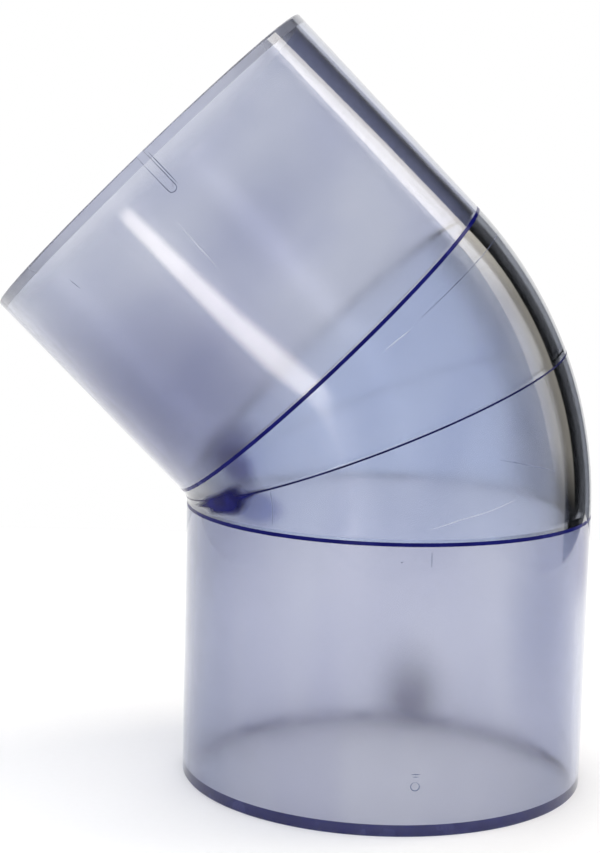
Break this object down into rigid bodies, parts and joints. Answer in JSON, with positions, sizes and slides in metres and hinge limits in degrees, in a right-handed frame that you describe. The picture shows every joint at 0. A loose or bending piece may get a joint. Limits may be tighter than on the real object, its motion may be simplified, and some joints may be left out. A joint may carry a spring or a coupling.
{
  "type": "pvc elbow fitting",
  "caption": "Clear 45 degree PVC pipe elbow with a plain solvent-cement socket at each end and an inner stop ring that seats each pipe.",
  "frame": {"origin": "centre of the lower pipe stop, on the lower socket's axis, where the end of the lower pipe lands", "axes": "+Z along the lower socket's axis, from its mouth towards the bend; the upper socket leans over from +Z towards -X; +Y across the fitting, square to the plane that both sockets' axes lie in"},
  "size_m": [0.2467, 0.1692, 0.3153],
  "materials": {
    "clear_pvc": "clear blue-tinted moulded PVC, glossy outside and hazy inside",
    "stop_ring_pvc": "deep blue where the edge of the ring gathers light",
    "cement": "cured solvent cement, glossy"
  },
  "bodies": {
    "root": {"lower_socket": "clear_pvc", "lower_stop_ring": "stop_ring_pvc", "lower_half_bend": "clear_pvc", "middle_cement_bead": "cement", "upper_half_bend": "clear_pvc", "upper_stop_ring": "stop_ring_pvc", "upper_socket": "clear_pvc"}
  },
  "joints": []
}
